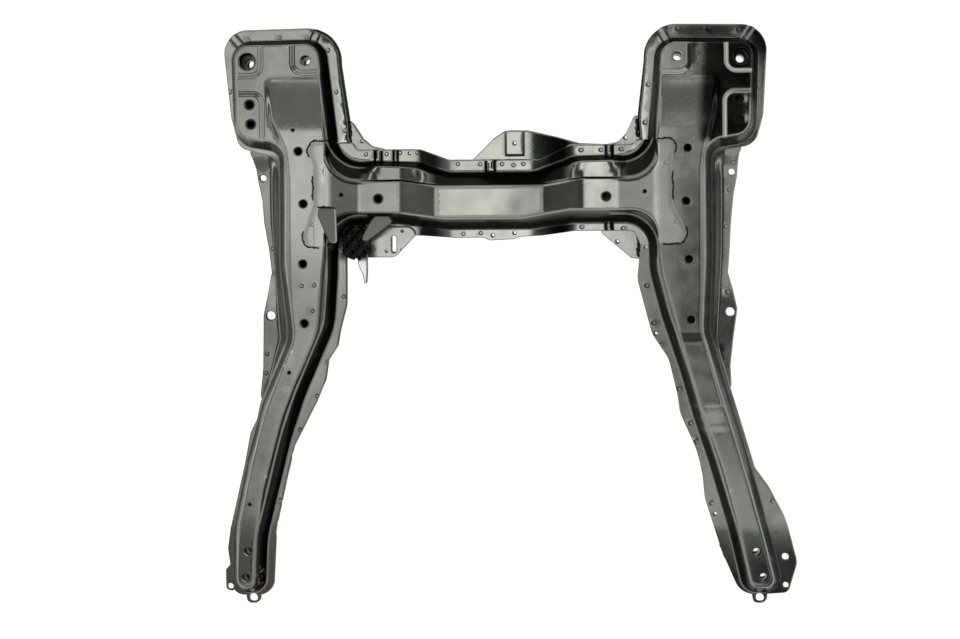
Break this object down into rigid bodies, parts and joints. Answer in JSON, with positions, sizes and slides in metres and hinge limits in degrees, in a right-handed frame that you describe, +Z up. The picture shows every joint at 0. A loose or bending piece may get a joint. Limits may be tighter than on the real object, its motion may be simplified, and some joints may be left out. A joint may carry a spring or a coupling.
{
  "type": "vehicle front subframe",
  "caption": "Welded pressed-steel front subframe with wide rear mounting pads, flared front legs and a raised cross-member, painted gloss black.",
  "frame": {"origin": "centre of the bounding box in plan, at the flat undersides of the rails", "axes": "+X to the right and +Y to the pads as the part is seen from above, +Z up towards the viewer"},
  "size_m": [1.0001, 1.0098, 0.1088],
  "materials": {
    "black_paint": "gloss black electro-coat over pressed sheet, grey where it mirrors the light",
    "sleeve_steel": "thin dark coat inside the holes"
  },
  "bodies": {
    "root": {"left_rail_upper": "black_paint", "left_rail_lower": "black_paint", "right_rail_upper": "black_paint", "right_rail_lower": "black_paint", "crossmember_upper": "black_paint", "crossmember_lower": "black_paint", "left_rear_gusset": "black_paint", "right_rear_gusset": "black_paint", "right_front_gusset": "black_paint", "middle_bracket": "black_paint", "slotted_bracket": "black_paint", "cover_tab": "black_paint", "corner_plate": "black_paint", "hanger_bracket": "black_paint", "left_outer_sleeve": "sleeve_steel", "right_outer_sleeve": "sleeve_steel", "left_inner_sleeve": "sleeve_steel", "right_inner_sleeve": "sleeve_steel", "left_leg_sleeves": "sleeve_steel", "right_leg_sleeves": "sleeve_steel", "pad_weld_nuts": "sleeve_steel", "left_rail_nuts": "sleeve_steel", "right_rail_nuts": "sleeve_steel", "crossmember_nuts": "sleeve_steel"}
  },
  "joints": []
}
